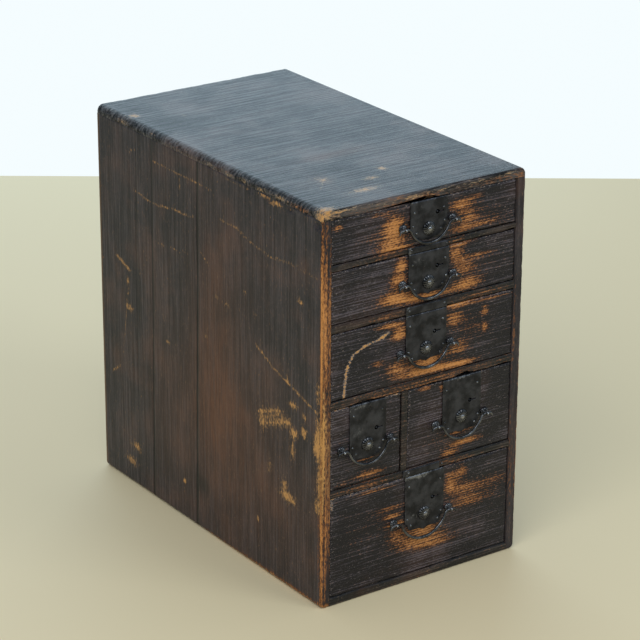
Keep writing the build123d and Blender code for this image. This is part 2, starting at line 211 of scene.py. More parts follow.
def wornStain(name, grainAxis, acrossAxis, look):
    # dark stain over pale softwood; marks hold wear, scuffs, soot and red tint, and on the drawer fronts a
    # painted highlight along the left and top arris and painted shade in the gaps
    material, tree, shader, coords = freshMaterial(name)
    worn, scuffAndSheenMarks, sootAndShadeShare, tinted = readMarks(tree)
    lines = noiseNode(tree, stretched(tree, coords, grainAxis, 10, 1 / look["pitch"]), 1.0, 4.0, 0.65)
    bands = ringBands(tree, coords, grainAxis, acrossAxis, stain["ringPitch"] * look["pitch"])
    lines = blend(tree, (lines, 1 - look["bands"]), (bands, look["bands"]))
    hairs = noiseNode(tree, stretched(tree, coords, grainAxis, 40, 2400), 1.0, 2.0, 0.6)
    clouds = noiseNode(tree, coords, 15.0, 4.0, 0.6)
    grit = noiseNode(tree, stretched(tree, coords, grainAxis, *look["grit"]), 1.0, 5.0, 0.75)
    dust = noiseNode(tree, coords, 750.0, 2.0, 0.6)

    def shown(layer, value):
        return between(tree, value, *stain["limits"][layer])

    shade = blend(tree, (lines, 0.9), (hairs, 0.35), (clouds, look["cloud"]), (grit, look["mottle"]),
                  (look["mottle"], -0.5))
    ridges = between(tree, shade, look["from"], look["to"])
    colour = mixColour(tree, ridges, look["groove"], look["ridge"])
    tinted = mathNode(tree, "MULTIPLY", tinted, shown("tintHairs", hairs))
    redShare = blend(tree, (shown("tint", clouds), look["tint"]), (tinted, 1.0))
    colour = mixColour(tree, redShare, colour, stain["red"])
    dusty = mathNode(tree, "MULTIPLY", shown("dust", dust), look["dust"])
    colour = mixColour(tree, dusty, colour, look["grazeAndSheen"])
    # the stain goes first where the grain stands high
    wornShare = blend(tree, (worn, 1.0), (lines, 1.5), (grit, 2.3), (hairs, 0.3),
                      (stain["wornLevel"] - look["wear"], -1.0))
    wornMask = shown("worn", wornShare)
    colour = mixColour(tree, wornMask, colour, stain["bareDark"])
    colour = mixColour(tree, shown("bareAndHighlight", wornShare), colour, stain["bareLight"])
    scuffAndSheenShare = blend(tree, (scuffAndSheenMarks, 1.0), (grit, 2.9), (hairs, 0.8), (stain["scuffLevel"], -1.0))
    # a light scuff share gives the pale graze colour; on the drawer fronts' left and top arris this is a
    # painted highlight
    colour = mixColour(tree, shown("grazeAndSheen", scuffAndSheenShare), colour, look["grazeAndSheen"])
    colour = mixColour(tree, shown("scuffAndSheen", scuffAndSheenShare), colour, stain["scuffAndSheen"])
    # dark marks: soot and seams, and painted shade in the drawer fronts' gaps and between petals
    colour = mixColour(tree, shown("sootAndShade", sootAndShadeShare), colour, stain["sootAndShade"])
    rough = blend(tree, (grit, 0.2), (lines, look["streak"]), (wornMask, 0.25), (look["rough"], 1.0))
    height = blend(tree, (lines, 1.0), (hairs, 0.3), (grit, look["grain"]), (wornMask, -0.25))
    setFinish(tree, shader, colour, rough, height, *stain["bump"])
    # the grooves hold dirt and shine less
    tree.links.new(blend(tree, (ridges, look["shine"]), (0.5 - 0.35 * look["shine"], 1.0)),
                   shader.inputs["Specular IOR Level"])
    return material


def plainWood(name, grainAxis, light, dark):
    material, tree, shader, coords = freshMaterial(name)
    rings = noiseNode(tree, stretched(tree, coords, grainAxis, 5, 160), 1.0, 4.0, 0.6)
    pores = noiseNode(tree, stretched(tree, coords, grainAxis, 40, 1800), 1.0, 2.0, 0.6)
    stains = noiseNode(tree, coords, 11.0, 4.0, 0.6)
    colour = mixColour(tree, between(tree, rings, 0.3, 0.7), light, dark)
    colour = mixColour(tree, between(tree, stains, 0.5, 0.85), colour, tuple(0.55 * c for c in dark))
    rough = blend(tree, (pores, 0.2), (0.65, 1.0))
    height = blend(tree, (rings, 1.0), (pores, 1.0))
    setFinish(tree, shader, colour, rough, height, 0.35, 0.0005)
    return material


def forgedIron(name, look):
    # scaled black iron, bright where marks say so: rubbed metal, and partly a painted highlight on bails,
    # petals, studs and plate edges
    material, tree, shader, coords = freshMaterial(name)
    brightMarks, _, sootAndShadeShare, _ = readMarks(tree)
    scale = noiseNode(tree, coords, 300.0, 5.0, 0.7)
    blotches = noiseNode(tree, coords, 75.0, 4.0, 0.6)
    dents = noiseNode(tree, coords, 420.0, 2.0, 0.5)
    specks = noiseNode(tree, coords, 900.0, 2.0, 0.6)
    colour = mixColour(tree, between(tree, blotches, 0.35, 0.68), look["dark"], look["light"])
    rust = mathNode(tree, "MULTIPLY", between(tree, scale, 0.55, 0.72), look["rust"])
    colour = mixColour(tree, rust, colour, (0.075, 0.032, 0.014))
    # the bright share: rubbed metal, and on bails, petals, studs and plate folds a painted highlight
    rubbedAndHighlit = between(tree, blend(tree, (brightMarks, 1.0), (scale, 1.6), (0.8, -1.0)), 0.25, 0.7)
    # painted shade in the valleys between petals
    colour = mixColour(tree, between(tree, sootAndShadeShare, 0.2, 0.8), colour, stain["sootAndShade"])
    speckled = mathNode(tree, "MULTIPLY", between(tree, specks, 0.67, 0.76), 0.35)
    bright = mathNode(tree, "MAXIMUM", rubbedAndHighlit, speckled)
    colour = mixColour(tree, bright, colour, look["bright"])
    shader.inputs["Metallic"].default_value = 0.85
    rough = blend(tree, (scale, 0.3), (rubbedAndHighlit, -0.08), (look["rough"], 1.0))
    setFinish(tree, shader, colour, rough, blend(tree, (dents, 1.0), (scale, 0.5)), 0.35, 0.0005)
    return material


# the fronts' pale blue-grey ridge colour is partly a painted sheen on the raised grain
frontStain = wornStain("worn_stain_fronts", 0, 2, {
    "pitch": 0.0021, "bands": 0.15, "groove": (0.0046, 0.0036, 0.0074),
    "ridge": (0.092, 0.081, 0.108), "from": 0.86, "to": 1.12, "mottle": 0.5, "cloud": 0.5,
    "tint": 0.16, "grazeAndSheen": (0.21, 0.2, 0.21), "dust": 0.4, "wear": -0.06, "rough": 0.26,
    "streak": 0.12, "grain": 0.6, "grit": (330, 640), "shine": 0.3})
sideStain = wornStain("worn_stain_sides", 2, 1, {
    "pitch": 0.0034, "bands": 0.05, "groove": (0.008, 0.0072, 0.012),
    "ridge": (0.066, 0.054, 0.066), "from": 0.62, "to": 1.1, "mottle": 0.45, "cloud": 0.3,
    "tint": 0.32, "grazeAndSheen": (0.16, 0.088, 0.042), "dust": 0.7, "wear": -0.1, "rough": 0.34,
    "streak": 0.06, "grain": 0.3, "grit": (230, 680), "shine": 0.3})
topStain = wornStain("worn_stain_top", 0, 1, {
    "pitch": 0.0042, "bands": 0.1, "groove": (0.004, 0.004, 0.005), "ridge": (0.08, 0.077, 0.08),
    "from": 0.66, "to": 0.97, "mottle": 0.4, "cloud": 0.3, "tint": 0.3, "grazeAndSheen": (0.25, 0.2, 0.14),
    "dust": 0.4, "wear": -0.12, "rough": 0.13, "streak": 0.42, "grain": 0.35, "grit": (200, 640),
    "shine": 0.85})
railStain = wornStain("worn_stain_rails", 0, 2, {
    "pitch": 0.0024, "bands": 0.15, "groove": (0.005, 0.0046, 0.005), "ridge": (0.065, 0.055, 0.052),
    "from": 0.71, "to": 1.02, "mottle": 0.4, "cloud": 0.3, "tint": 0.3, "grazeAndSheen": (0.19, 0.15, 0.11),
    "dust": 0.5, "wear": 0.0, "rough": 0.34, "streak": 0.1, "grain": 0.6, "grit": (330, 640),
    "shine": 0.3})
insideWood = plainWood("plain_wood_along", 1, (0.4, 0.27, 0.15), (0.27, 0.17, 0.085))
insideWoodAcross = plainWood("plain_wood_across", 0, (0.38, 0.26, 0.15), (0.25, 0.16, 0.08))
backWood = plainWood("back_wood", 2, (0.16, 0.105, 0.065), (0.09, 0.055, 0.035))
plateIron = forgedIron("plate_iron", {
    "dark": (0.022, 0.023, 0.027), "light": (0.064, 0.067, 0.08), "bright": (0.24, 0.25, 0.27),
    "rough": 0.27, "rust": 0.25})
bailIron = forgedIron("bail_iron", {
    "dark": (0.04, 0.041, 0.045), "light": (0.14, 0.145, 0.155), "bright": (0.3, 0.31, 0.33),
    "rough": 0.1, "rust": 0.25})
print("materials made")


def netCuts(low, high, net):
    # planes that part a board evenly, for each axis and pitch
    cuts = []
    for axis, pitch in net:
        length = high[axis] - low[axis]
        count = max(1, round(length / pitch))
        cuts.append((axis, [low[axis] + length * k / count for k in range(1, count)]))
    return cuts


def boardSkin(node, ending, cuts, onSkin, triangles=False):
    # the CAD board's own form, its outer skin cut into a fine net
    board = addObject(node + ending, frame["nodes"][node].data.copy())
    takeUp(board)
    bpy.context.tool_settings.mesh_select_mode = (False, False, True)
    setMode("EDIT")
    selectAll("SELECT")
    bpy.ops.mesh.remove_doubles(threshold=0.000002)
    bpy.ops.mesh.dissolve_limited(angle_limit=math.radians(0.5))
    if triangles:  # faces with holes are cut cleanly only so
        bpy.ops.mesh.quads_convert_to_tris()
    selectAll("DESELECT")
    setMode("OBJECT")
    for face in board.data.polygons:
        face.select = not onSkin(face.center, face.normal)
    setMode("EDIT")
    bpy.ops.mesh.hide(unselected=False)
    for axis, places in cuts:
        normal = Vector((0, 0, 0))
        normal[axis] = 1
        for place in places:
            selectAll("SELECT")
            bpy.ops.mesh.bisect(plane_co=normal * place, plane_no=normal)
    bpy.ops.mesh.reveal()
    selectAll("DESELECT")
    setMode("OBJECT")
    return board


def meshPoints(piece):
    flat = np.empty(3 * len(piece.data.vertices))
    piece.data.vertices.foreach_get("co", flat)
    return flat.reshape(-1, 3)


def raiseGrain(board, axis, inward, grainAxis, pitch, depth, near):
    # soft wood worn back between the hard rings, by up to depth
    points = meshPoints(board)
    group = board.vertex_groups.new(name="skin")
    group.add([int(k) for k in np.flatnonzero(near(points))], 1.0, "REPLACE")
    rings = bpy.data.textures.new("rings", "CLOUDS")
    rings.noise_scale = 1.0
    rings.noise_depth = 2
    ruler = addObject("ruler", None)
    size = [pitch, pitch, pitch]
    size[grainAxis] = 90 * mm
    ruler.scale = size
    bpy.context.view_layer.update()
    takeUp(board)
    bpy.ops.object.modifier_add(type="DISPLACE")
    modifier = board.modifiers[-1]
    modifier.texture = rings
    modifier.texture_coords = "OBJECT"
    modifier.texture_coords_object = ruler
    modifier.direction = "XYZ"[axis]
    modifier.vertex_group = "skin"
    modifier.mid_level = 0.0
    modifier.strength = inward * depth
    bpy.ops.object.modifier_apply(modifier=modifier.name)
    bpy.data.objects.remove(ruler)
    board.vertex_groups.clear()


def wearArrises(board, low, high, faces, reach, depth):
    # rounds and nicks the edges where two worn faces meet; faces are (axis, side) pairs
    points = meshPoints(board)
    closeness = []
    for axis, side in faces:
        plane = (low, high)[side][axis]
        closeness.append(np.clip(1 - np.abs(points[:, axis] - plane) / reach, 0, 1))
    ranked = np.sort(np.array(closeness), axis=0)
    for k in np.flatnonzero(ranked[-2] > 0.02):
        point = board.data.vertices[int(k)].co
        rough = 0.55 + noise.noise(point * 90) + 0.7 * noise.noise(point * 330)
        bite = depth * max(0.0, rough) * ranked[-2][k]
        for (axis, side), close in zip(faces, closeness):
            point[axis] += bite * close[k] * (1 - 2 * side)


def chipOut(board, centre, halfSizes, push):
    # presses a splintered hollow into the points round centre
    reach = (((meshPoints(board) - np.array(centre)) / np.array(halfSizes)) ** 2).sum(axis=1)
    for k in np.flatnonzero(reach < 1):
        vertex = board.data.vertices[int(k)]
        jag = 0.75 + 0.6 * noise.noise(vertex.co * 400)
        vertex.co += Vector(push) * float(1 - reach[k]) ** 0.5 * jag


def lineDistance(spread, line):
    nearest = np.full(len(spread), 1e9)
    for start, end in zip(line, line[1:]):
        start, end = np.array(start, float), np.array(end, float)
        along = np.clip(((spread - start) @ (end - start)) / ((end - start) @ (end - start)), 0, 1)
        nearest = np.minimum(nearest, np.linalg.norm(spread - start - along[:, None] * (end - start), axis=1))
    return nearest


# channels of the marks: bare wood or bright iron (bright iron partly a painted highlight), pale scuff (on the
# drawer fronts' left and top edges also a painted highlight), soot or seam (in the drawer fronts' gaps and
# between petals painted shade), red tint
bareAndHighlight, scuffAndSheen, dirtAndShade, red = range(4)


def paintMarks(board, layers):
    # a layer is a view, its spots and strokes by channel, and the points it reaches
    points = meshPoints(board)
    marks = np.zeros((len(points), 4))
    for flatten, spots, strokes, near in layers:
        spread = flatten(points / mm)
        here = near(points)
        for channel, rows in spots.items():
            for u, v, wide, high, strength in rows:
                reach = ((spread[:, 0] - u) / wide) ** 2 + ((spread[:, 1] - v) / high) ** 2
                marks[:, channel] += here * strength * np.exp(-reach)
        for channel, rows in strokes.items():
            for width, strength, line in rows:
                marks[:, channel] += here * strength * np.exp(-(lineDistance(spread, line) / width) ** 2)
    attribute = board.data.attributes.new("marks", "FLOAT_COLOR", "POINT")
    attribute.data.foreach_set("color", np.clip(marks, 0, 1.5).astype(np.float32).ravel())
    return marks


def everywhere(points):
    return np.ones(len(points))


def frontView(points):
    # mm from the left edge, mm from the floor
    return np.stack([points[:, 0] - leftX / mm, points[:, 2]], axis=1)


def sideView(points):
    # mm from the back, mm from the floor
    return np.stack([rearY / mm - points[:, 1], points[:, 2]], axis=1)


def topView(points):
    # mm from the left edge, mm from the back
    return np.stack([points[:, 0] - leftX / mm, rearY / mm - points[:, 1]], axis=1)


def smoothPiece(piece, angle=40):
    takeUp(piece)
    bpy.ops.object.shade_smooth_by_angle(angle=math.radians(angle))


def finishBoard(board, body, node, stained):
    smoothPiece(board)
    finishPiece(board, body, [node], stained)


def finishIron(piece, body, nodes, material=bailIron):
    finishPiece(piece, body, nodes, material)


front = {
    "net": [(0, 2.4 * mm), (2, 0.85 * mm)],  # axis, pitch
    "skin": 1.4 * mm,
    "ridges": [(1.9 * mm, 0.25 * mm), (5.0 * mm, 0.22 * mm)],  # pitch, depth
    "reach": 2.6 * mm,
    "bite": 0.7 * mm,
    "arris": (1.3, 0.24),  # half width, strength of the marks along the edges
    # a painted highlight along the left and top arris, then painted shade in the gaps along the bottom and
    # right edges: half width, strength
    "grazeAndSheen": (1.7, 0.22),
    "seamAndGapShade": (0.9, 0.7),
    # spots: place from the left edge and the floor, half sizes, strength
    "spots": {
        1: {bareAndHighlight: [(96, 416, 14, 15, 0.75), (88, 398, 20, 7, 0.6), (95, 392, 22, 3, 0.6),
            (178, 424, 18, 9, 0.8), (188, 409, 18, 7, 0.6), (176, 398, 18, 5, 0.6), (200, 430, 12, 3, 0.5),
            (205, 398, 18, 2.5, 0.5), (224, 404, 26, 16, 0.28), (70, 434, 16, 3, 0.45),
            (20, 430, 6, 4, 0.7), (62, 410, 20, 14, 0.2), (84, 416, 12, 16, 0.45)]},
        2: {bareAndHighlight: [(101, 373, 9, 9, 0.9), (97, 357, 13, 9, 0.8), (92, 338, 22, 8, 0.9),
            (132, 331, 36, 5, 1.0), (188, 334, 22, 7, 0.9), (173, 370, 12, 10, 0.75),
            (184, 352, 18, 8, 0.6), (212, 352, 34, 18, 0.16), (180, 380, 26, 2, 0.7),
            (200, 364, 24, 3, 0.5)]},
        3: {bareAndHighlight: [(88, 308, 20, 4, 0.8), (100, 296, 12, 9, 0.9), (72, 268, 10, 4, 0.6),
            (97, 258, 17, 9, 0.75), (137, 258, 20, 7, 1.1), (135, 246, 42, 6, 0.95), (182, 243, 26, 4, 0.8),
            (174, 312, 22, 3, 0.8), (172, 298, 14, 9, 0.7), (178, 262, 16, 9, 0.6), (214, 298, 5, 6, 0.7),
            (214, 278, 4, 5, 0.6), (196, 284, 30, 18, 0.3), (220, 310, 30, 2, 0.55)]},
        4: {bareAndHighlight: [(62, 144, 22, 5, 0.7), (58, 163, 14, 3, 0.5), (26, 140, 10, 4, 0.4),
            (60, 180, 50, 30, 0.12)]},
        5: {bareAndHighlight: [(135, 225, 13, 3, 0.8), (157, 221, 3, 6, 0.7), (190, 150, 24, 4, 0.9),
            (185, 163, 20, 3.5, 0.7), (170, 141, 14, 4, 0.8), (150, 160, 24, 12, 0.25)]},
        6: {
            bareAndHighlight: [(95, 85, 13, 3, 0.8), (98, 75, 15, 3, 0.8), (90, 95, 20, 4, 0.55), (100, 60, 12, 8, 0.6),
                (136, 60, 22, 7, 0.95), (132, 47, 36, 6, 0.9), (148, 37, 36, 5, 0.75),
                (172, 107, 10, 14, 0.65), (188, 116, 8, 9, 0.6), (190, 92, 22, 12, 0.5),
                (200, 75, 30, 7, 0.45), (230, 92, 26, 12, 0.34), (70, 122, 30, 2, 0.6),
                (60, 80, 36, 24, 0.15), (160, 80, 90, 30, 0.12)],
            scuffAndSheen: [(135, 123, 14, 3, 0.6)],
        },
    },
    # strokes: half width, strength, line
    "strokes": {
        3: {scuffAndSheen: [(1.7, 0.9, [(29, 240), (30.5, 258), (33, 273)]),
            (1.3, 0.85, [(33, 273), (41, 286), (55, 292)]), (1.6, 0.8, [(55, 292), (80, 297)]),
            (2.1, 0.7, [(78, 298), (86, 300)])]},
        4: {scuffAndSheen: [(1.3, 0.55, [(13, 228.5), (104, 228.5)]), (1.2, 0.35, [(12, 215), (12, 150)])]},
        6: {scuffAndSheen: [(1.3, 0.5, [(13, 127.5), (160, 127.5)]), (3.0, 0.3, [(14, 124), (14, 116)])]},
    },
}


def makeFront(number):
    node = f"drawer_{number}_front"
    low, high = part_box(node)
    faceY = low.y
    board = boardSkin(node, "_worn", netCuts(low, high, front["net"]),
                      lambda centre, normal: centre.y < faceY + front["skin"] and normal.y < -0.1)
    for pitch, depth in front["ridges"]:
        raiseGrain(board, 1, 1, 0, pitch, depth, lambda p: p[:, 1] < faceY + 1.35 * mm)
    left, right = ((v.x - leftX) / mm for v in (low, high))
    foot, top = low.z / mm, high.z / mm
    edges = [(1, 0), (0, 0), (0, 1), (2, 0), (2, 1)]
    wearArrises(board, low, high, edges, front["reach"], front["bite"])
    sheenEdgeLine = left + 0.9
    # worn bare edges, a painted highlight along the left and top arris, and painted shade in the gaps along
    # the bottom and right edges
    rims = {
        bareAndHighlight: [(*front["arris"], [(left, foot), (left, top), (right, top), (right, foot)])],
        scuffAndSheen: [(*front["grazeAndSheen"], [(sheenEdgeLine, foot), (sheenEdgeLine, top - 0.9), (right, top - 0.9)])],
        dirtAndShade: [(*front["seamAndGapShade"], [(left, foot), (right, foot), (right, top)])],
    }
    paintMarks(board, [(frontView, front["spots"][number], front["strokes"].get(number, {}), everywhere),
                       (frontView, {}, rims, everywhere)])
    finishBoard(board, f"drawer_{number}", node, frontStain)


for number in drawerNumbers:
    makeFront(number)
print("drawer fronts made")

sideBoard = {
    "net": [(1, 1.6 * mm), (2, 2.6 * mm), (0, 2.0 * mm)],
    "ridge": 4.4 * mm,
    "depth": 0.12 * mm,
    "reach": 5 * mm,
    "bite": {-1: 0.75 * mm, 1: 0.35 * mm},  # left, right
    "seamAndGapShade": 0.6 * mm,
}

# marks are placed from the back and the floor, those on the stile from the left edge
leftMarks = {
    "spots": {
        red: [(235, 180, 45, 120, 0.75), (300, 130, 70, 120, 0.55), (150, 120, 50, 90, 0.4),
            (260, 330, 60, 60, 0.25), (400, 90, 50, 70, 0.3)],
        scuffAndSheen: [(350, 190, 20, 14, 0.4), (372, 197, 12, 10, 0.46), (388, 197, 8, 8, 0.42),
            (337, 180, 9, 12, 0.4), (443, 250, 5, 16, 0.55), (400, 188, 8, 5, 0.9), (417, 196, 6, 7, 0.9),
            (397, 220, 9, 4, 0.8), (418, 214, 4, 4, 0.8), (396, 168, 6, 12, 0.62), (380, 123, 7, 8, 0.6),
            (387, 109, 16, 7, 0.85), (366, 436, 9, 3, 0.8), (342, 438, 8, 2.5, 0.7), (356, 433, 5, 2, 0.5),
            (443, 205, 6, 18, 0.75), (440, 185, 8, 12, 0.7), (445, 150, 5, 30, 0.65),
            (441, 118, 6, 10, 0.6), (352, 132, 5, 10, 0.35), (64, 223, 7, 5, 0.75), (61, 254, 4, 6, 0.6),
            (62, 240, 3, 3, 0.5), (74, 51, 12, 6, 0.65), (61, 29, 14, 6, 0.65), (147, 208, 6, 3, 0.6),
            (178, 47, 4, 4, 0.8), (227, 242, 2, 2.4, 0.7), (410, 341, 5, 3, 0.7), (386, 246, 2, 5, 0.7),
            (305, 319, 4, 2, 0.5), (329, 60, 2.5, 5, 0.6), (325, 297, 6, 3, 0.4), (250, 295, 6, 5, 0.3),
            (270, 293, 6, 6, 0.35), (340, 2, 90, 3, 0.7), (90, 2, 40, 2.5, 0.4)],
        bareAndHighlight: [(446, 130, 5, 120, 0.48), (447, 330, 3.5, 90, 0.36), (380, 2, 100, 5.5, 0.95),
            (250, 2, 60, 3, 0.6), (4, 268, 3, 6, 0.6), (4, 207, 3, 5, 0.6), (300, 250, 160, 180, 0.08)],
        dirtAndShade: [(217, 57, 20, 17, 0.5), (20, 380, 30, 70, 0.12)],
    },
    "strokes": {
        scuffAndSheen: [(1.6, 0.55, [(79, 370), (118, 365), (165, 371), (203, 373)]),
            (1.5, 0.5, [(257, 387), (283, 388), (318, 379), (354, 374), (389, 378), (441, 377)]),
            (1.8, 0.6, [(327, 266), (357, 251), (392, 241), (419, 233), (441, 227)]),
            (2.6, 0.65, [(38, 279), (67, 269)]), (1.5, 0.65, [(22, 130), (40, 142)]),
            (1.1, 0.5, [(121, 415), (190, 415), (253, 417)]), (1.5, 0.6, [(177, 411), (177, 398)]),
            (1.0, 0.35, [(262, 437), (300, 436), (330, 438), (396, 437)]),
            (1.7, 0.36, [(332, 190), (354, 199), (374, 206)]),
            (1.5, 0.3, [(336, 178), (362, 187), (390, 198)]), (1.1, 0.6, [(215, 339), (234, 328)]),
            (1.1, 0.4, [(60, 238), (47, 158)]), (1.1, 0.4, [(125, 321), (190, 327)]),
            (1.1, 0.5, [(68, 412), (82, 418)])],
        bareAndHighlight: [(2.0, 0.25, [(150, 330), (152, 60)]), (2.5, 0.22, [(262, 400), (258, 40)])],
        dirtAndShade: [(2.0, 0.3, [(180, 436), (178, 250)]), (2.4, 0.25, [(330, 430), (326, 260)]),
            (1.6, 1.2, [(213, 440), (211, 300), (207, 150), (204, 4)]),
            (1.5, 0.95, [(118, 440), (116, 250), (111, 4)]), (1.8, 0.5, [(85, 440), (82, 250), (79, 4)])],
    },
    "stileSpots": {
        bareAndHighlight: [(4, 250, 12, 260, 0.26), (3, 330, 5, 120, 0.12)],
        scuffAndSheen: [(3, 190, 3, 40, 0.4), (5, 225, 3, 10, 0.4)],
        dirtAndShade: [(6, 6, 12, 12, 0.3)],
    },
    "stile": {
        bareAndHighlight: [(1.7, 0.42, [(1.0, 440), (1.0, 10)]), (1.2, 0.35, [(10.8, 440), (10.8, 20)]),
            (1.0, 0.3, [(5.6, 440), (5.4, 220), (5.8, 10)])],
        dirtAndShade: [(0.6, 0.4, [(8.2, 440), (8.0, 250), (8.4, 30)])],
        scuffAndSheen: [(0.9, 0.45, [(2.2, 330), (3.0, 180), (2.2, 90)])],
    },
    "chips": [(443, 434, 9, 5, 2.2), (395, 437, 8, 3, 1.2), (355, 437, 8, 3, 1.0), (318, 438, 9, 3, 0.9),
        (452, 203, 3, 7, 0.9), (452, 150, 3, 9, 0.7)],
}
rightMarks = {
    "spots": {
        red: [(210, 200, 80, 130, 0.5), (340, 120, 60, 80, 0.35)],
        scuffAndSheen: [(330, 150, 14, 5, 0.75), (120, 220, 7, 5, 0.7), (400, 70, 10, 4, 0.7), (60, 400, 9, 3, 0.6),
            (210, 60, 5, 3, 0.6)],
        bareAndHighlight: [(446, 110, 4, 110, 0.4)],
        dirtAndShade: [(260, 410, 40, 22, 0.2)],
    },
    "strokes": {
        scuffAndSheen: [(1.2, 0.62, [(96, 330), (160, 322), (228, 331)]),
            (1.3, 0.6, [(260, 120), (320, 138), (360, 132)])],
        dirtAndShade: [(1.6, 1.1, [(150, 440), (153, 220), (150, 4)]),
            (1.5, 0.8, [(306, 440), (301, 220), (304, 4)])],
    },
    "stileSpots": {bareAndHighlight: [(254, 280, 4, 60, 0.22), (254, 110, 4, 60, 0.18)]},
    "stile": {bareAndHighlight: [(1.5, 0.5, [(263, 240), (263, 4)]), (1.0, 0.28, [(263, 440), (263, 240)]),
        (1.2, 0.35, [(254, 330), (254, 230)])]},
    "chips": [],
}


def makeSide(node, sign, marks):
    low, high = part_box(node)
    outer = low.x if sign < 0 else high.x
    inner = high.x if sign < 0 else low.x
    skinStart = 0.5 * (outer + inner)

    def onSkin(centre, normal):
        outside = sign * normal.x > 0.05 and sign * (centre.x - skinStart) > 0
        return outside or (normal.y < -0.5 and centre.y < frontY + 3 * mm)

    board = boardSkin(node, "_worn", netCuts(low, high, sideBoard["net"]), onSkin)
    raiseGrain(board, 0, -sign, 2, sideBoard["ridge"], sideBoard["depth"],
               lambda p: sign * (p[:, 0] - outer) > -0.4 * mm)
    outerFace = (0, 0 if sign < 0 else 1)
    wearArrises(board, low, high, [outerFace, (1, 0), (2, 0)], sideBoard["reach"], sideBoard["bite"][sign])
    for place, height, halfLong, halfHigh, bite in marks["chips"]:
        chipOut(board, (outer, rearY - place * mm, height * mm), (3 * mm, halfLong * mm, halfHigh * mm),
                (-sign * bite * mm, 0, 0))
    painted = paintMarks(board, [
        (sideView, marks["spots"], marks["strokes"], everywhere),
        (frontView, marks["stileSpots"], marks["stile"], lambda p: p[:, 1] < frontY + 2.5 * mm),
    ])
    # the seams between the glued boards have opened a little
    points = meshPoints(board)
    for k in np.flatnonzero((painted[:, dirtAndShade] > 0.3) & (sign * (points[:, 0] - outer) > -0.6 * mm)):
        board.data.vertices[int(k)].co.x -= sign * sideBoard["seamAndGapShade"] * min(1, painted[k, dirtAndShade])
    finishBoard(board, "case", node, sideStain)


makeSide("left_side", -1, leftMarks)
makeSide("right_side", 1, rightMarks)
print("sides made")

topBoard = {
    "net": [(1, 1.8 * mm), (0, 3.0 * mm), (2, 2.0 * mm)],
    "ridge": 5.0 * mm,
    "depth": 0.12 * mm,
    "plainRim": 9 * mm,  # without raised grain
    "reach": 5 * mm,
    "bite": 0.45 * mm,
    "spots": {
        scuffAndSheen: [(13, 62, 7, 8, 0.75), (106, 386, 11, 6, 0.62), (79, 413, 20, 7, 0.68),
            (134, 367, 5, 6, 0.85), (59, 363, 8, 12, 0.45), (9, 441, 14, 8, 0.7), (60, 90, 3, 8, 0.25)],
        dirtAndShade: [(25, 170, 13, 10, 0.35)],
        red: [(59, 361, 10, 12, 0.6), (120, 300, 44, 12, 0.6)],
        bareAndHighlight: [(6, 446, 12, 4, 0.6), (258, 446, 6, 4, 0.3)],
    },
    "strokes": {
        bareAndHighlight: [(2.0, 0.26, [(0, 449), (264, 449)]), (2.0, 0.3, [(0, 449), (0, 150)])],
        scuffAndSheen: [(1.0, 0.4, [(40, 388), (66, 360)])],
        dirtAndShade: [(0.8, 0.5, [(0, 452), (264, 452)])],
    },
    "leftEdge": {
        scuffAndSheen: [(60, 444, 14, 3, 0.4), (118, 446, 6, 2, 0.4), (238, 443, 8, 3, 0.4), (276, 442, 12, 2, 0.5),
            (305, 444, 8, 3, 0.45), (336, 443, 10, 2, 0.5), (372, 444, 14, 3, 0.5), (450, 444, 9, 6, 0.6)],
        bareAndHighlight: [(410, 443, 16, 3, 0.3)],
    },
    "chips": [(236, 8, 1.0), (262, 6, 0.9), (300, 8, 1.3), (322, 6, 0.9), (346, 9, 1.4), (372, 7, 1.1),
        (400, 6, 1.0), (428, 8, 1.5)],
    "edge": {
        bareAndHighlight: [(100, 441, 60, 3, 0.15), (125, 444, 20, 3, 0.4), (215, 444, 40, 3, 0.2)],
        scuffAndSheen: [(30, 447, 24, 2, 0.45), (75, 445, 14, 2, 0.45), (118, 444.5, 15, 2.5, 0.6),
            (150, 446, 20, 1.5, 0.4), (200, 446, 16, 1.5, 0.45), (240, 447, 14, 1.5, 0.45),
            (6, 445, 6, 6, 0.35)],
        dirtAndShade: [(134, 441, 5, 3, 0.8)],
    },
}


def makeTop():
    low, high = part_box("top_board")
    board = boardSkin("top_board", "_worn", netCuts(low, high, topBoard["net"]),
                      lambda centre, normal: normal.z > 0.02 or normal.y < -0.3 or abs(normal.x) > 0.3)
    raiseGrain(board, 2, -1, 0, topBoard["ridge"], topBoard["depth"],
               lambda p: (p[:, 2] > high.z - 0.4 * mm) & (np.abs(p[:, 0]) < high.x - topBoard["plainRim"]))
    edges = [(0, 0), (0, 1), (1, 0), (1, 1), (2, 1)]
    wearArrises(board, low, high, edges, topBoard["reach"], topBoard["bite"])
    chipOut(board, (3 * mm, frontY, low.z), (6 * mm, 5 * mm, 4 * mm), (0, 0, 3.0 * mm))
    chipOut(board, (leftX + 134 * mm, frontY, low.z), (7 * mm, 4 * mm, 3.5 * mm), (0, 0, 2.2 * mm))
    chipOut(board, (leftX, frontY + 10 * mm, low.z + 4 * mm), (3 * mm, 9 * mm, 5 * mm), (1.4 * mm, 0, 0))
    for place, halfLong, bite in topBoard["chips"]:
        chipOut(board, (leftX, rearY - place * mm, low.z + 1 * mm), (3 * mm, halfLong * mm, 5 * mm),
                (bite * mm, 0, 0))
    paintMarks(board, [(topView, topBoard["spots"], topBoard["strokes"], everywhere),
                       (frontView, topBoard["edge"], {}, lambda p: p[:, 1] < frontY + 3 * mm),
                       (sideView, topBoard["leftEdge"], {}, lambda p: p[:, 0] < leftX + 2 * mm)])
    finishBoard(board, "case", "top_board", topStain)


makeTop()
print("top made")

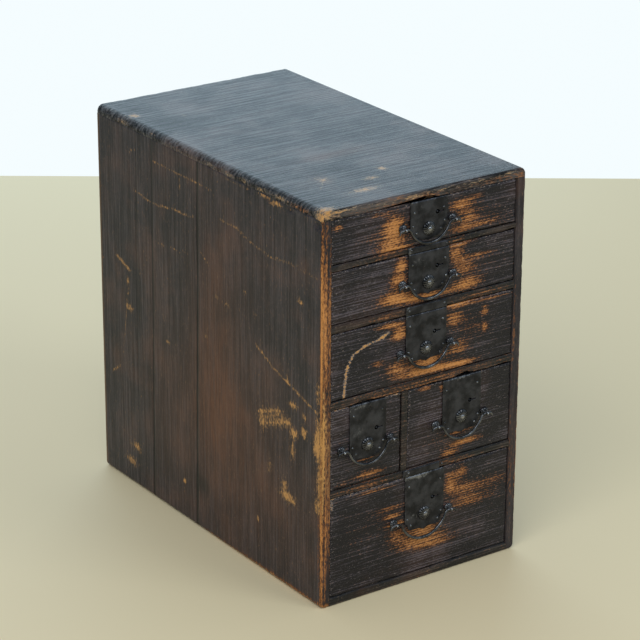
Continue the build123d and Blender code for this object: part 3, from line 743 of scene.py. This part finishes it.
rail = {
    "in": [0.4, 1.2, 3.0, 6.0],
    "net": [(0, 2.5 * mm), (2, 1.5 * mm)],
    "reach": 2.2 * mm,
    "bite": 0.6 * mm,
    "spots": {
        "shelf_1": {bareAndHighlight: [(85, 387, 30, 6, 0.4), (172, 387, 16, 6, 0.35)]},
        "shelf_2": {bareAndHighlight: [(82, 319, 26, 6, 0.4), (205, 319, 44, 6, 0.35)]},
        "shelf_3": {bareAndHighlight: [(132, 234, 110, 6, 0.42)]},
        "shelf_4": {bareAndHighlight: [(62, 132, 44, 6, 0.4), (175, 132, 26, 6, 0.35)]},
        "divider": {bareAndHighlight: [(108, 190, 6, 30, 0.15)]},
        "bottom_board": {bareAndHighlight: [(132, 2, 130, 3, 0.2)]},
    },
    # splinters out of a rail's lower edge: place, half sizes, rise
    "chips": {
        "shelf_3": [(54, 229, 13, 4, 2.6), (188, 229, 13, 5, 3.4), (146, 229, 7, 3, 1.4),
            (240, 229, 8, 3, 1.2)],
        "shelf_1": [(244, 384, 8, 2.5, 1.2)],
        "shelf_2": [(60, 314.6, 10, 2.5, 0.9)],
    },
}


def makeRail(node):
    low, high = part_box(node)
    depths = [(1, [frontY + k * mm for k in rail["in"]])]
    board = boardSkin(node, "_worn", depths + netCuts(low, high, rail["net"]),
                      lambda centre, normal: centre.y < frontY + 7 * mm)
    wearArrises(board, low, high, [(1, 0), (2, 0), (2, 1)], rail["reach"], rail["bite"])
    for x, z, halfWide, halfHigh, rise in rail["chips"].get(node, []):
        chipOut(board, (leftX + x * mm, frontY, z * mm), (halfWide * mm, 5 * mm, halfHigh * mm),
                (0, 0, rise * mm))
    paintMarks(board, [(frontView, rail["spots"][node], {}, everywhere)])
    finishBoard(board, "case", node, railStain)


for node in rail["spots"]:
    makeRail(node)
print("rails made")

iron = {
    "tipReach": 7.6 * mm,  # from a post to the end of the bail
    "eyeStretch": 2.0 * mm,
    "shoulder": 6.0 * mm,
    "curl": 5.5 * mm,
    "curlTurn": 80,
    "middle": 1.9 * mm,
    "eye": 1.4 * mm,
    "swell": 1.5 * mm,
    "tip": 0.75 * mm,
    "petals": 16,
    "washerPetals": 12,
    # round pieces: radius, sides, then rings of (share of radius, height)
    "rosette": (8.5 * mm, 96, [(1.0, 0.6), (0.93, 1.2), (0.78, 1.9), (0.58, 2.3), (0.36, 2.4)]),
    "stud": (2.7 * mm, 24, [(1.0, 0.3), (0.88, 0.9), (0.62, 1.3), (0.3, 1.5)]),
    "washer": (5.6 * mm, 60, [(1.0, 0.4), (0.92, 1.1), (0.7, 1.9), (0.4, 2.3)]),
    "nail": (1.4 * mm, 12, [(0.96, 0.3), (0.75, 0.65), (0.4, 0.9)]),
    "studSeat": 2.05 * mm,
    "shank": 1.5 * mm,
    "clench": 6 * mm,
    "rosetteDrops": {1: 32.1, 2: 35.0, 3: 40.5, 4: 47.9, 5: 46.7, 6: 48.1},  # from a plate's top
}


def arc(centre, radius, start, end, count):
    angles = [math.radians(start + (end - start) * k / count) for k in range(count + 1)]
    return [(centre[0] + radius * math.cos(a), centre[1] + radius * math.sin(a)) for a in angles]


def bailLine(halfSpan, drop):
    # half of the handle, from the curled tip to the middle of the bow, then mirrored
    innerEnd = halfSpan - iron["eyeStretch"]
    outerEnd = halfSpan + iron["eyeStretch"]
    bowRadius = (innerEnd ** 2 + drop ** 2) / (2 * drop) - iron["shoulder"]
    lean = math.degrees(math.asin(innerEnd / (bowRadius + iron["shoulder"])))
    tip = arc((-outerEnd, -iron["curl"]), iron["curl"], 90 + iron["curlTurn"], 90, 12)
    shoulder = arc((-innerEnd, -iron["shoulder"]), iron["shoulder"], 90, 90 - lean, 8)
    bow = arc((0, bowRadius - drop), bowRadius, 270 - lean, 270, 16)
    half = tip + shoulder + bow[1:]
    radii = [iron["tip"] + (iron["swell"] - iron["tip"]) * min(1, k / 7) for k in range(len(tip))]
    radii += [iron["eye"]] * len(shoulder)
    radii += [iron["eye"] + (iron["middle"] - iron["eye"]) * k / 16 for k in range(1, 17)]
    line = half + [(-x, z) for x, z in reversed(half[:-1])]
    return line, radii + radii[-2::-1]


def bailPlace(number):
    # the middle of its axis, half the distance between the posts, and its lowest height
    hinge = next(j for j in frame["joints"] if j["name"] == f"drawer_{number}_bail_swing")
    low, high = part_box(f"drawer_{number}_bail")
    return Vector(hinge["pos_m"]), (high.x - low.x) / 2 - iron["tipReach"], low.z


def makeBail(number):
    centre, halfSpan, lowest = bailPlace(number)
    drop = centre.z - lowest - iron["middle"]
    line, radii = bailLine(halfSpan, drop)
    startFresh()
    bpy.ops.curve.primitive_nurbs_path_add()
    wire = bpy.context.object
    wire.data.splines.clear()
    spline = wire.data.splines.new("POLY")
    spline.points.add(len(line) - 1)
    for point, (x, z), radius in zip(spline.points, line, radii):
        place = centre + Vector((x, 0, z))
        point.co = (*place, 1)
        point.radius = radius / mm
    wire.data.dimensions = "3D"
    wire.data.bevel_depth = mm
    wire.data.bevel_resolution = 3
    wire.data.use_fill_caps = True
    bpy.ops.object.convert(target="MESH")
    bail = bpy.context.object
    bail.name = f"drawer_{number}_bail_forged"
    # painted highlight: the side facing up, right and forward, towards the lamps, is painted bright
    normals = np.empty(3 * len(bail.data.vertices))
    bail.data.vertices.foreach_get("normal", normals)
    towardLamps = normals.reshape(-1, 3) @ np.array((0.35, -0.25, 0.9))
    paintIron(bail, 0.3 * np.clip(towardLamps, 0, 1))
    smoothPiece(bail, 60)
    finishIron(bail, f"drawer_{number}_bail", [f"drawer_{number}_bail"])


def selectPoints(piece, test):
    setMode("OBJECT")
    for point in piece.data.vertices:
        point.select = test(point.co)
    setMode("EDIT")


def raisedDisc(name):
    # a round blank at the origin, drawn up towards -Y ring by ring
    radius, sides, rings = iron[name]
    startFresh()
    bpy.ops.mesh.primitive_circle_add(vertices=sides, radius=radius, fill_type="NGON",
                                      rotation=(math.radians(90), 0, 0))
    disc = bpy.context.object
    disc.name = name
    bpy.ops.object.transform_apply(location=False, rotation=True, scale=False)
    bpy.context.tool_settings.mesh_select_mode = (False, False, True)
    setMode("EDIT")
    selectAll("SELECT")
    share, height = 1.0, 0.0
    for nextShare, nextHeight in rings:
        rise = (nextHeight - height) * mm
        bpy.ops.mesh.extrude_region_move(TRANSFORM_OT_translate={"value": (0, -rise, 0)})
        bpy.ops.transform.resize(value=(nextShare / share, 1, nextShare / share),
                                 center_override=(0, -nextHeight * mm, 0))
        share, height = nextShare, nextHeight
    selectAll("SELECT")
    bpy.ops.mesh.normals_make_consistent(inside=False)
    setMode("OBJECT")
    return disc


def flute(piece, flutes, innerRadius, squeeze, sink):
    # every few points round the rim are pulled in and back, which leaves petals between them
    turn = 2 * math.pi / flutes
    halfValley = 0.6 * math.pi / iron[piece.name][1]
    bpy.context.tool_settings.mesh_select_mode = (True, False, False)
    takeUp(piece)

    def inValley(point):
        angle = math.atan2(point.z, point.x) % turn
        return min(angle, turn - angle) < halfValley and math.hypot(point.x, point.z) > innerRadius

    selectPoints(piece, inValley)
    bpy.ops.transform.resize(value=(squeeze, 1, squeeze), center_override=(0, 0, 0))
    selectAll("DESELECT")
    selectPoints(piece, lambda point: inValley(point) and point.y < -0.6 * mm)
    bpy.ops.transform.translate(value=(0, sink, 0))
    setMode("OBJECT")


def paintIron(piece, brightness, valleys=None):
    # painted bright, partly rubbed metal and partly a painted highlight, with painted shade in the valleys
    # between petals (their number, how far out they start)
    points = meshPoints(piece)
    marks = np.zeros((len(points), 4), np.float32)
    marks[:, bareAndHighlight] = brightness
    if valleys:
        turn = 2 * np.pi / valleys[0]
        angle = np.arctan2(points[:, 2], points[:, 0]) % turn
        outside = np.hypot(points[:, 0], points[:, 2]) > valleys[1]
        valleyShade = (np.minimum(angle, turn - angle) < 0.2 * turn) & outside
        marks[valleyShade, bareAndHighlight] = 0
        marks[valleyShade, dirtAndShade] = 0.55
    piece.data.attributes.new("marks", "FLOAT_COLOR", "POINT").data.foreach_set("color", marks.ravel())


def makeMasters():
    rosette, stud, washer, nail = (raisedDisc(name) for name in ("rosette", "stud", "washer", "nail"))
    flute(rosette, iron["petals"], 3.0 * mm, 0.93, 0.8 * mm)
    # the petals and the stud are painted bright, partly a painted highlight, and the valleys between the
    # petals dark as painted shade
    paintIron(rosette, 0.2, (iron["petals"], 3.4 * mm))
    stud.data.transform(Matrix.Translation((0, -iron["studSeat"], 0)))
    paintIron(stud, 0.6)
    flute(washer, iron["washerPetals"], 2.4 * mm, 0.92, 0.6 * mm)
    paintIron(washer, 0.36, (iron["washerPetals"], 2.6 * mm))
    paintIron(nail, 0.4)
    startFresh()
    bpy.ops.mesh.primitive_torus_add(major_segments=24, minor_segments=10, major_radius=2.4 * mm,
                                     minor_radius=0.9 * mm, rotation=(0, math.radians(90), 0))
    eye = bpy.context.object
    bpy.ops.object.transform_apply(location=False, rotation=True, scale=False)
    # the eye's two legs, pressed together where they enter the front
    setMode("EDIT")
    selectPoints(eye, lambda point: point.y > 1.2 * mm)
    bpy.ops.transform.resize(value=(1.25, 1.0, 0.62), center_override=(0, 0, 0))
    setMode("OBJECT")
    eye.name = "eye"
    masters = {piece.name: piece for piece in (rosette, stud, washer, eye, nail)}
    for piece in masters.values():
        smoothPiece(piece, 50)
    return masters


def pin(place, length):
    # shank through the front, with its ends clenched inside
    startFresh()
    bpy.ops.mesh.primitive_cylinder_add(vertices=12, radius=iron["shank"], depth=length,
                                        rotation=(math.radians(90), 0, 0),
                                        location=(place.x, place.y + length / 2, place.z))
    shank = bpy.context.object
    bpy.ops.object.transform_apply(location=True, rotation=True, scale=True)
    bpy.ops.mesh.primitive_cube_add(size=1, location=(place.x, place.y + length + 0.6 * mm, place.z),
                                    scale=(2 * iron["clench"], 1.2 * mm, 1.5 * mm))
    bar = bpy.context.object
    bpy.ops.object.transform_apply(location=True, rotation=True, scale=True)
    setMode("EDIT")
    selectAll("SELECT")
    bpy.ops.mesh.bevel(offset=0.35 * mm, segments=2, affect="EDGES")
    setMode("OBJECT")
    return [shank, bar]


def makePull(number, masters):
    axis, halfSpan, _ = bailPlace(number)
    plateLow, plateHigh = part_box(f"drawer_{number}_lock_plate")
    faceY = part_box(f"drawer_{number}_front")[0].y
    middle = (plateLow.x + plateHigh.x) / 2
    rosetteZ = plateHigh.z - iron["rosetteDrops"][number] * mm
    eyeRear = axis.y + 2.4 * mm
    pieces = []
    for hand in (-1, 1):
        x = axis.x + hand * halfSpan
        pieces.append(copyTo(masters["washer"], Vector((x, faceY, axis.z))))
        pieces.append(copyTo(masters["eye"], Vector((x, axis.y, axis.z))))
        pieces += pin(Vector((x, eyeRear, axis.z)), faceY + 12 * mm - eyeRear)
    pieces.append(copyTo(masters["rosette"], Vector((middle, plateLow.y, rosetteZ))))
    pieces.append(copyTo(masters["stud"], Vector((middle, plateLow.y, rosetteZ))))
    pieces += pin(Vector((middle, plateLow.y - 0.2 * mm, rosetteZ)), 13.2 * mm)
    pull = joinPieces(pieces, f"drawer_{number}_pull_forged")
    finishIron(pull, f"drawer_{number}", [f"drawer_{number}_pull_fixings"])

    halfPlate = (plateHigh.x - plateLow.x) / 2
    axisDrop = plateHigh.z - axis.z
    nails = []
    for drop, inset in ((12 * mm, 5 * mm), (axisDrop, 3.5 * mm), (axisDrop + 8 * mm, 8 * mm)):
        for hand in (-1, 1):
            spot = Vector((middle + hand * (halfPlate - inset), plateLow.y, plateHigh.z - drop))
            nails.append(copyTo(masters["nail"], spot))
    finishIron(joinPieces(nails, f"drawer_{number}_plate_nails"), f"drawer_{number}", [])


plate = {
    "net": [(0, 1.6 * mm), (2, 1.6 * mm)],
    "fold": (1.1, 0.34),  # half width and strength of the rubbed edges, along the top fold also a painted highlight
    "edge": (1.0, 0.16),
    "strikeRim": (1.2, 0.28),
    "strikeEnd": (3.0, 0.35),
    # rubbed places on each lock plate, from its top left corner
    "spots": {
        1: [(16, 8, 5, 3, 0.25)],
        2: [(12, 10, 9, 5, 0.3)],
        3: [(30, 50, 6, 8, 0.2)],
        4: [(14, 3, 16, 2.5, 0.4), (10, 34, 8, 9, 0.3)],
        5: [(20, 2, 18, 2, 0.3)],
        6: [(18, 2.5, 20, 3, 0.6), (12, 48, 10, 5, 0.35)],
    },
}


def plainView(points):
    return points[:, [0, 2]]


def forgePlate(node, body, spots, strokes):
    low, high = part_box(node)
    piece = boardSkin(node, "_forged", netCuts(low, high, plate["net"]),
                      lambda centre, normal: centre.y < low.y + 0.3 * mm and normal.y < -0.5, True)
    paintMarks(piece, [(plainView, spots, strokes, everywhere)])
    smoothPiece(piece)
    finishIron(piece, body, [node], plateIron)


def makeLockPlate(number):
    node = f"drawer_{number}_lock_plate"
    low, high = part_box(node)
    left, right, foot, top = low.x / mm, high.x / mm, low.z / mm, high.z / mm
    rims = [(*plate["fold"], [(left, top - 0.4), (right, top - 0.4)])]
    rims += [(*plate["edge"], [(x, top), (x, foot + 8)]) for x in (right, left)]
    spots = [(left + u, top - v, *rest) for u, v, *rest in plate["spots"][number]]
    forgePlate(node, f"drawer_{number}", {bareAndHighlight: spots}, {bareAndHighlight: rims})


def makeStrikes(masters):
    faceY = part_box("strike_plates")[0].y
    nails = []
    rims = []
    for number, shelf in ((2, "shelf_1"), (3, "shelf_2"), (6, "shelf_4")):
        plateLow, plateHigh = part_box(f"drawer_{number}_lock_plate")
        low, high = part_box(shelf)
        left, right = plateLow.x / mm, plateHigh.x / mm
        # the bright rims along top and bottom and the strip at the left end are rubbed metal and partly a
        # painted highlight for rolled edges
        rims += [(*plate["strikeRim"], [(left, z / mm), (right, z / mm)]) for z in (low.z, high.z)]
        rims.append((*plate["strikeEnd"], [(left + 1, low.z / mm), (left + 1, high.z / mm)]))
        for x in (plateLow.x + 3.5 * mm, plateHigh.x - 3.5 * mm):
            nails.append(copyTo(masters["nail"], Vector((x, faceY, (low.z + high.z) / 2))))
    forgePlate("strike_plates", "case", {}, {bareAndHighlight: rims})
    finishIron(joinPieces(nails, "strike_nails"), "case", [])


masters = makeMasters()
for number in drawerNumbers:
    makeBail(number)
    makePull(number, masters)
    makeLockPlate(number)
makeStrikes(masters)
for master in masters.values():
    bpy.data.objects.remove(master)
print("ironwork made")


def dress(node, material):
    for slot in frame["nodes"][node].material_slots:
        slot.material = material


dress("back_panel", backWood)
for number in drawerNumbers:
    dress(f"drawer_{number}_sides", insideWood)
    dress(f"drawer_{number}_back", insideWoodAcross)
    dress(f"drawer_{number}_bottom", insideWoodAcross)
    dress(f"drawer_{number}_lock_bolt", plateIron)

cameraView = {
    "place": (-1.587, -2.303, 1.347),
    "azimuth": -34.95,
    "elevation": 21.76,
    "roll": 0.26,
    "lens": 150.13,
}
stage = {
    "floor": 5.0,
    "farEdge": 3.98,  # from the camera's foot
    "floorColour": (0.77, 0.68, 0.45),
    "wall": ((0.91, 0.98, 1.0, 1), 1.0),  # colour and strength, as seen
    "mirrored": ((0.64, 0.85, 1.0, 1), 0.38),
    "lighting": ((0.93, 0.96, 1.0, 1), 0.45),
}
lamps = [  # place, aims at, size, power, colour
    ((-1.6, -1.2, 2.2), (0, 0, 0.2), (1.8, 1.4), 27, (1.0, 1.0, 1.0)),
    ((1.0, -2.4, 2.0), (0, 0, 0.2), (1.2, 1.2), 17, (0.91, 0.96, 1.0)),
    ((0.9, 2.2, 1.2), (0, 0, 0.4), (2.6, 1.8), 29, (0.66, 0.86, 1.0)),
]


def aimedMatrix(place, azimuth, elevation, roll):
    turn, rise, tilt = (math.radians(a) for a in (azimuth, elevation, roll))
    back = Vector((math.sin(turn) * math.cos(rise), -math.cos(turn) * math.cos(rise), math.sin(rise)))
    right = (-back).cross(Vector((0, 0, 1))).normalized()
    up = right.cross(-back)
    tilted = math.cos(tilt) * right + math.sin(tilt) * up
    upright = math.cos(tilt) * up - math.sin(tilt) * right
    matrix = Matrix((tilted, upright, back)).transposed().to_4x4()
    matrix.translation = Vector(place)
    return matrix


def setCamera():
    cameraData = bpy.data.cameras.new("camera")
    cameraData.lens = cameraView["lens"]
    cameraData.sensor_width = 36
    camera = addObject("camera", cameraData)
    camera.matrix_world = aimedMatrix(cameraView["place"], cameraView["azimuth"], cameraView["elevation"],
                                      cameraView["roll"])
    bpy.context.scene.camera = camera


def setLamps():
    for place, target, size, power, colour in lamps:
        data = bpy.data.lights.new("soft_lamp", "AREA")
        data.shape = "RECTANGLE"
        data.size, data.size_y = size
        data.energy = power
        data.color = colour
        lamp = addObject("soft_lamp", data)
        lamp.location = place
        lamp.rotation_euler = (Vector(target) - Vector(place)).to_track_quat("-Z", "Y").to_euler()
        lamp.visible_camera = False


def setStage():
    # the floor ends in a straight line behind the chest, square to the view
    heading = math.radians(cameraView["azimuth"])
    away = Vector((-math.sin(heading), math.cos(heading), 0))
    start = Vector((cameraView["place"][0], cameraView["place"][1], 0))
    centre = start + away * (stage["farEdge"] - stage["floor"] / 2)
    startFresh()
    bpy.ops.mesh.primitive_plane_add(size=stage["floor"], location=centre, rotation=(0, 0, heading))
    floor = bpy.context.object
    floor.name = "floor"
    material, _, shader, _ = freshMaterial("pale_floor")
    shader.inputs["Base Color"].default_value = (*stage["floorColour"], 1)
    shader.inputs["Roughness"].default_value = 0.7
    floor.data.materials.append(material)

    world = bpy.data.worlds.new("pale_room")
    bpy.context.scene.world = world
    world.use_nodes = True
    tree = world.node_tree
    tree.nodes.clear()
    seen = addNode(tree, "LightPath")
    direct = mathNode(tree, "MAXIMUM", seen.outputs["Is Camera Ray"], seen.outputs["Is Transmission Ray"])
    glow = {}
    for name in ("wall", "mirrored", "lighting"):
        colour, strength = stage[name]
        glow[name] = addNode(tree, "Background", {"Color": colour, "Strength": strength}).outputs[0]
    room = addNode(tree, "MixShader",
                   {0: seen.outputs["Is Glossy Ray"], 1: glow["lighting"], 2: glow["mirrored"]})
    both = addNode(tree, "MixShader", {0: direct, 1: room.outputs[0], 2: glow["wall"]})
    addNode(tree, "OutputWorld", {"Surface": both.outputs[0]})


setCamera()
setLamps()
setStage()
bpy.context.scene.view_settings.view_transform = "Standard"
print("stage set")
